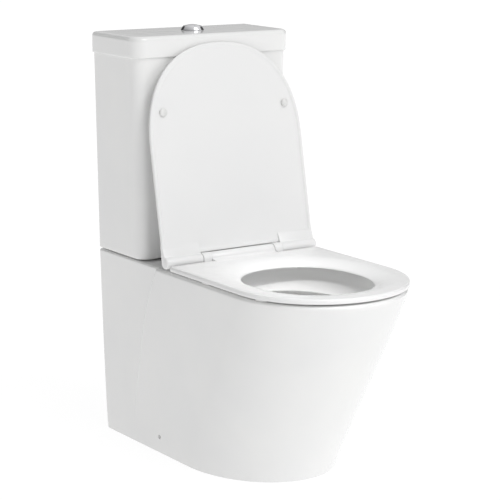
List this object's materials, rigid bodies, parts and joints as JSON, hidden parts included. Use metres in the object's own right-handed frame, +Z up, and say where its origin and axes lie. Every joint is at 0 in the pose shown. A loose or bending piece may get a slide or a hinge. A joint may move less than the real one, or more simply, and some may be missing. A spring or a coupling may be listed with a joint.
{
  "type": "close coupled toilet",
  "caption": "Close coupled toilet with a fully skirted pan, a slim cistern with a push button on top, and a seat with a cover that stands open.",
  "frame": {"origin": "on the floor, at the middle of the toilet's box at rest with its cover open", "axes": "+Z up, -Y towards the front of the bowl, +Y towards the wall, +X to the right of someone who faces the toilet"},
  "size_m": [0.384, 0.69, 0.861],
  "materials": {
    "glazed_china": "gloss white glaze over vitreous china",
    "seat_plastic": "polished white thermoset",
    "chrome_trim": "polished chrome plate",
    "valve_plastic": "moulded, natural white",
    "blue_plastic": "moulded, blue",
    "float_plastic": "moulded, grey",
    "seal_rubber": "black moulded rubber",
    "bumper_rubber": "translucent soft rubber",
    "bolt_steel": "stainless",
    "spring_steel": "drawn wire"
  },
  "bodies": {
    "fixed": {"pan": "glazed_china", "pan_trapway": "glazed_china", "cistern_tank": "glazed_china", "flush_valve_base": "valve_plastic", "flush_valve_tower": "valve_plastic", "flush_valve_nut": "valve_plastic", "valve_base_washer": "seal_rubber", "close_coupling_gasket": "seal_rubber", "flush_lever_pin": "bolt_steel", "fill_valve_body": "valve_plastic", "fill_valve_cap": "blue_plastic", "fill_valve_washer": "seal_rubber", "fill_valve_lock_nut": "valve_plastic", "tank_bolts": "bolt_steel", "tank_cone_washers": "seal_rubber", "tank_plate_washers": "seal_rubber", "tank_wing_nuts": "valve_plastic", "hinge_block_left": "seat_plastic", "hinge_block_right": "seat_plastic", "seat_damper": "float_plastic", "cover_damper": "float_plastic", "hinge_base_plates": "bolt_steel", "hinge_studs": "bolt_steel", "hinge_stud_bushes": "bumper_rubber", "hinge_wing_nuts": "valve_plastic"},
    "cover": {"seat_cover": "seat_plastic", "cover_bumpers": "bumper_rubber"},
    "seat": {"seat_ring": "seat_plastic", "seat_bumpers": "bumper_rubber"},
    "lid": {"cistern_lid": "glazed_china", "button_bezel": "chrome_trim", "button_lock_nut": "valve_plastic", "half_button_spring": "spring_steel", "full_button_spring": "spring_steel"},
    "half_button": {"half_flush_button": "chrome_trim", "half_push_rod": "valve_plastic"},
    "full_button": {"full_flush_button": "chrome_trim", "full_push_rod": "valve_plastic"},
    "half_lever": {"half_flush_lever": "blue_plastic"},
    "full_lever": {"full_flush_lever": "blue_plastic"},
    "overflow_tube": {"flush_valve_overflow_tube": "valve_plastic", "flush_valve_seal": "seal_rubber"},
    "float": {"fill_valve_float": "float_plastic"},
    "float_lever": {"fill_valve_lever": "blue_plastic"}
  },
  "joints": [
    {"name": "cover_hinge", "type": "hinge", "parent": "fixed", "child": "cover", "pos_m": [0, 0.0805, 0.411], "axis": [-1, 0, 0], "range_deg": [-101.5, 0]},
    {"name": "seat_hinge", "type": "hinge", "parent": "fixed", "child": "seat", "pos_m": [0, 0.0805, 0.411], "axis": [-1, 0, 0], "range_deg": [0, 100.5]},
    {"name": "cistern_lid_lift", "type": "slide", "parent": "fixed", "child": "lid", "axis": [0, 0, 1], "range_m": [0, 0.16]},
    {"name": "half_button_press", "type": "slide", "parent": "lid", "child": "half_button", "axis": [0, 0, 1], "range_m": [-0.008, 0], "stiffness_N_per_m": 250, "springref_m": 0.006, "deforming": ["half_button_spring"]},
    {"name": "full_button_press", "type": "slide", "parent": "lid", "child": "full_button", "axis": [0, 0, 1], "range_m": [-0.008, 0], "stiffness_N_per_m": 250, "springref_m": 0.006, "deforming": ["full_button_spring"]},
    {"name": "half_lever_pivot", "type": "hinge", "parent": "fixed", "child": "half_lever", "pos_m": [-0.009, 0.285, 0.698], "axis": [1, 0, 0], "range_deg": [0, 25]},
    {"name": "full_lever_pivot", "type": "hinge", "parent": "fixed", "child": "full_lever", "pos_m": [0.006, 0.285, 0.698], "axis": [1, 0, 0], "range_deg": [0, 25]},
    {"name": "flush_valve_lift", "type": "slide", "parent": "fixed", "child": "overflow_tube", "axis": [0, 0, 1], "range_m": [0, 0.0205]},
    {"name": "float_slide", "type": "slide", "parent": "fixed", "child": "float", "axis": [0, 0, 1], "range_m": [-0.015, 0], "stiffness_N_per_m": 250, "springref_m": 0.012},
    {"name": "float_lever_pivot", "type": "hinge", "parent": "fixed", "child": "float_lever", "pos_m": [-0.12, 0.234, 0.703], "axis": [0, 1, 0], "range_deg": [0, 24]}
  ],
  "couplings": [
    {"joint": "half_lever_pivot", "follows": "half_button_press", "rad_per_m": -52.4},
    {"joint": "full_lever_pivot", "follows": "full_button_press", "rad_per_m": -52.4},
    {"joint": "flush_valve_lift", "follows": "full_button_press", "ratio": -2.5},
    {"joint": "float_lever_pivot", "follows": "float_slide", "rad_per_m": -27}
  ]
}
